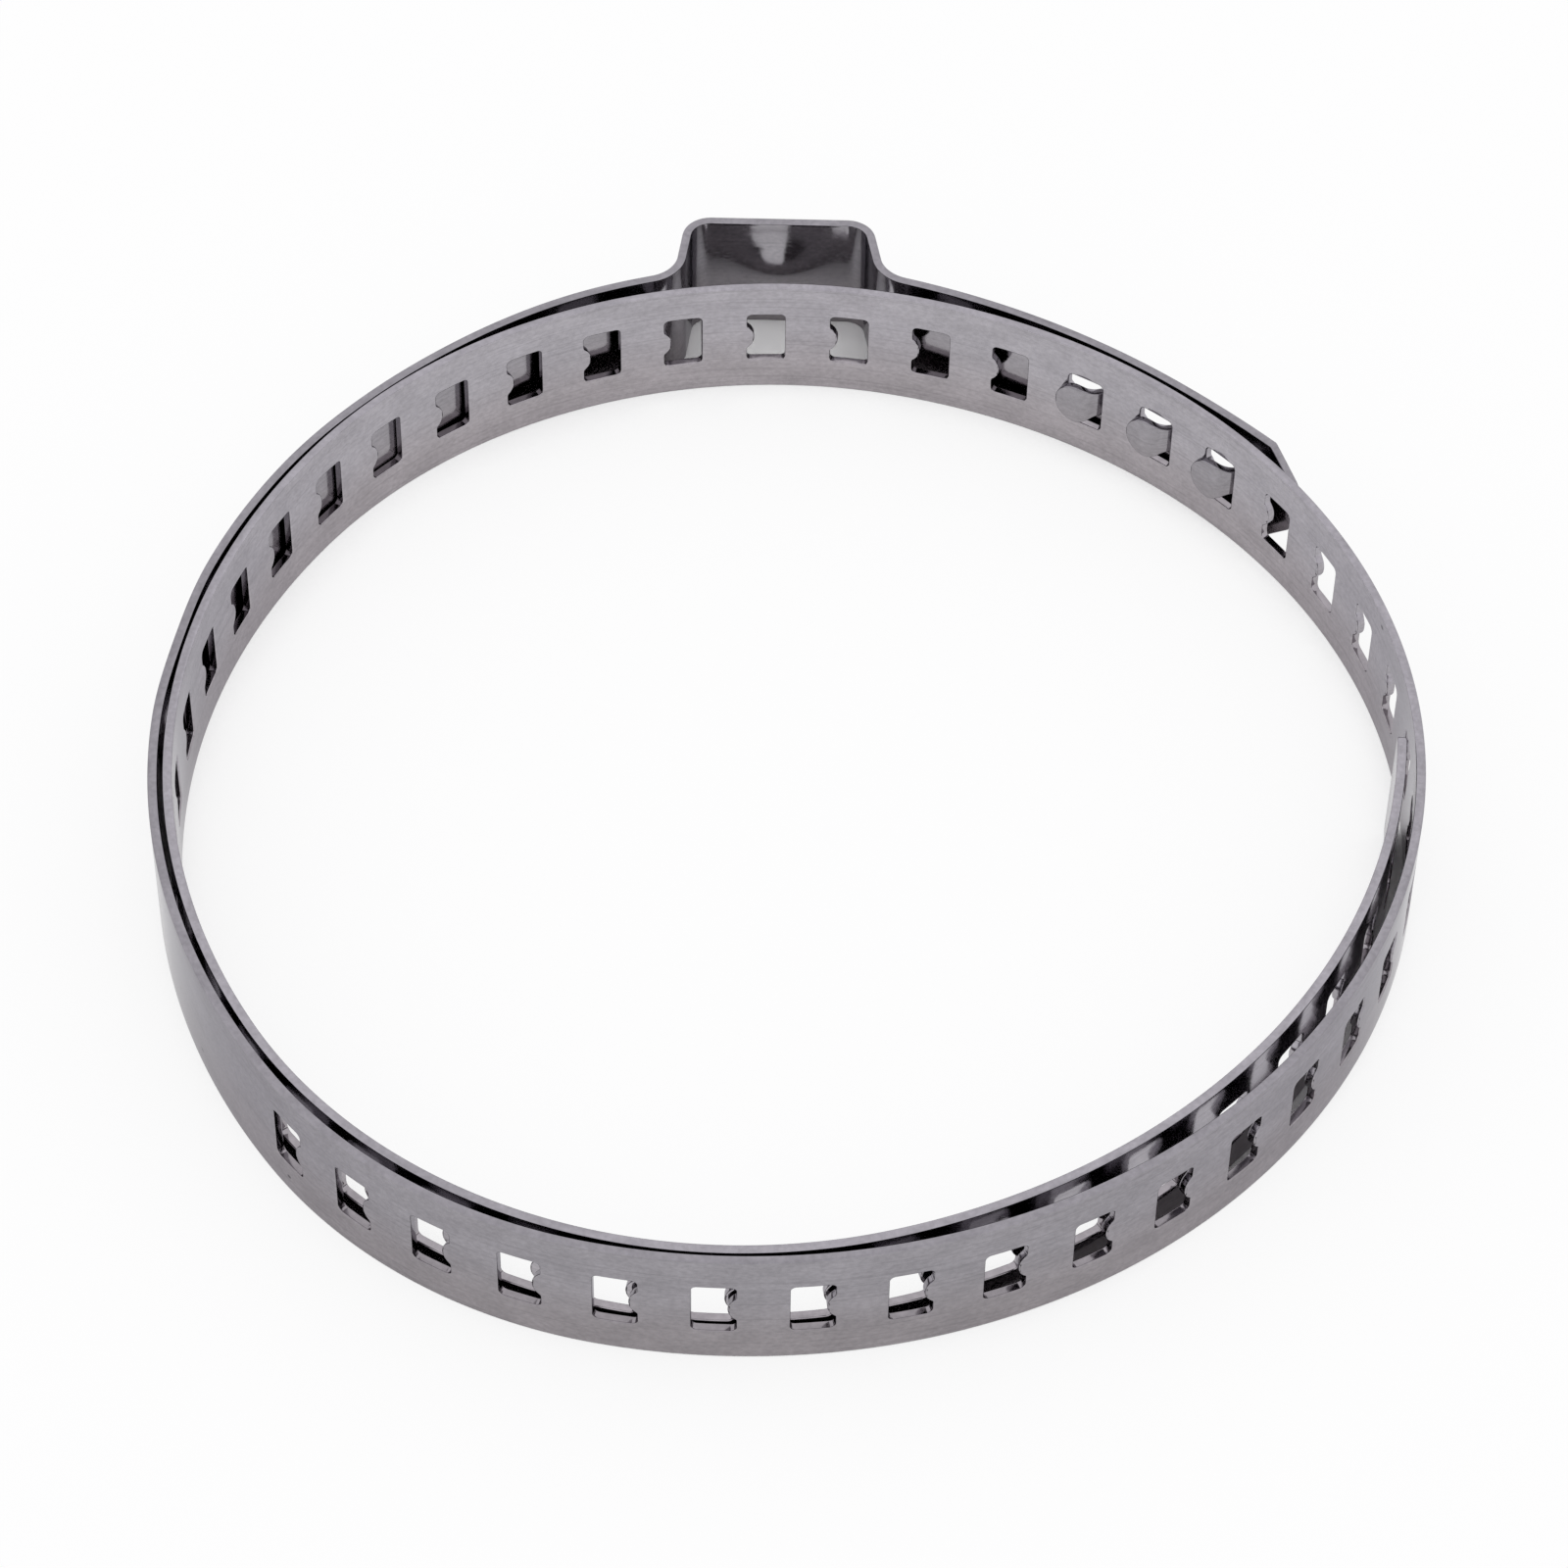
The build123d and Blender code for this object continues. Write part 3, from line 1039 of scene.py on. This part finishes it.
bpy.ops.object.select_all(action="DESELECT")
bpy.ops.mesh.primitive_plane_add(size=FLOOR_SIZE, location=(0, 0, 0))
floor = added("floor")
floor_paper = bpy.data.materials.new("white_floor_paper")
floor_paper.use_nodes = True
tree = floor_paper.node_tree
tree.nodes.clear()
rays = node(tree, "ShaderNodeLightPath")
direct = node(
    tree,
    "ShaderNodeMath",
    {"operation": "MAXIMUM"},
    {0: rays.outputs["Is Camera Ray"], 1: rays.outputs["Is Transmission Ray"]},
)
seen = node(
    tree,
    "ShaderNodeMath",
    {"operation": "MAXIMUM"},
    {0: direct.outputs[0], 1: rays.outputs["Is Glossy Ray"]},
)
openness = node(
    tree, "ShaderNodeAmbientOcclusion", {"samples": SHADE_SAMPLES}, Distance=SHADE_REACH * MM
)
open_share = node(
    tree,
    "ShaderNodeMapRange",
    {"interpolation_type": "SMOOTHSTEP"},
    {0: openness.outputs["AO"], 1: SHADE_BAND[0], 2: SHADE_BAND[1], 3: 0.0, 4: WHITE_SHARE},
)
share = node(
    tree,
    "ShaderNodeMath",
    {"operation": "MULTIPLY"},
    {0: seen.outputs[0], 1: open_share.outputs[0]},
)
paper = node(tree, "ShaderNodeBsdfDiffuse", Color=linear(PAPER_TONE))
white = node(tree, "ShaderNodeEmission", Color=linear(GLOW_TONE), Strength=1.0)
mixed = node(
    tree,
    "ShaderNodeMixShader",
    None,
    {0: share.outputs[0], 1: paper.outputs[0], 2: white.outputs[0]},
)
node(tree, "ShaderNodeOutputMaterial", Surface=mixed.outputs[0])
floor.data.materials.append(floor_paper)
floor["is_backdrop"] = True

world = bpy.context.scene.world or bpy.data.worlds.new("studio")
bpy.context.scene.world = world
world.use_nodes = True
tree = world.node_tree
tree.nodes.clear()
sky = node(tree, "ShaderNodeBackground", Color=linear(SKY_TONE), Strength=SKY_STRENGTH)
node(tree, "ShaderNodeOutputWorld", Surface=sky.outputs[0])
print("floor and sky:", PAPER_TONE, SKY_TONE)

# %% [markdown]
# The camera looks down at the ring from the front. Its place and its angle were fitted to the
# outlines of both turns, and its focal length is given in pixels of the square picture.

# %% Camera
CAMERA_PLACE = Vector((-5.263, -226.957, 247.612))
CAMERA_FORWARD = Vector((0.01534, 0.67612, -0.73664))
CAMERA_ROLL = 0.98115
CAMERA_FOCAL_PIXELS = 5300.0
IMAGE_PIXELS = 1600.0
SENSOR = 36.0
NEAREST = 0.01
FURTHEST = 10.0

camera_data = bpy.data.cameras.new("camera")
camera = bpy.data.objects.new("camera", camera_data)
bpy.context.scene.collection.objects.link(camera)
camera_data.sensor_width = SENSOR
camera_data.lens = CAMERA_FOCAL_PIXELS / IMAGE_PIXELS * SENSOR
camera.location = CAMERA_PLACE * MM
turn = CAMERA_FORWARD.to_track_quat("-Z", "Y").to_matrix()
camera.rotation_euler = (turn @ Matrix.Rotation(math.radians(CAMERA_ROLL), 3, "Z")).to_euler()
camera_data.clip_start = NEAREST
camera_data.clip_end = FURTHEST
bpy.context.scene.camera = camera
bpy.context.scene.view_settings.view_transform = "Standard"
print("lens in mm:", round(camera_data.lens, 2))

# %% [markdown]
# The box round every piece that renders, the floor left out, is measured.

# %% Sizes and finish
low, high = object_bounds()
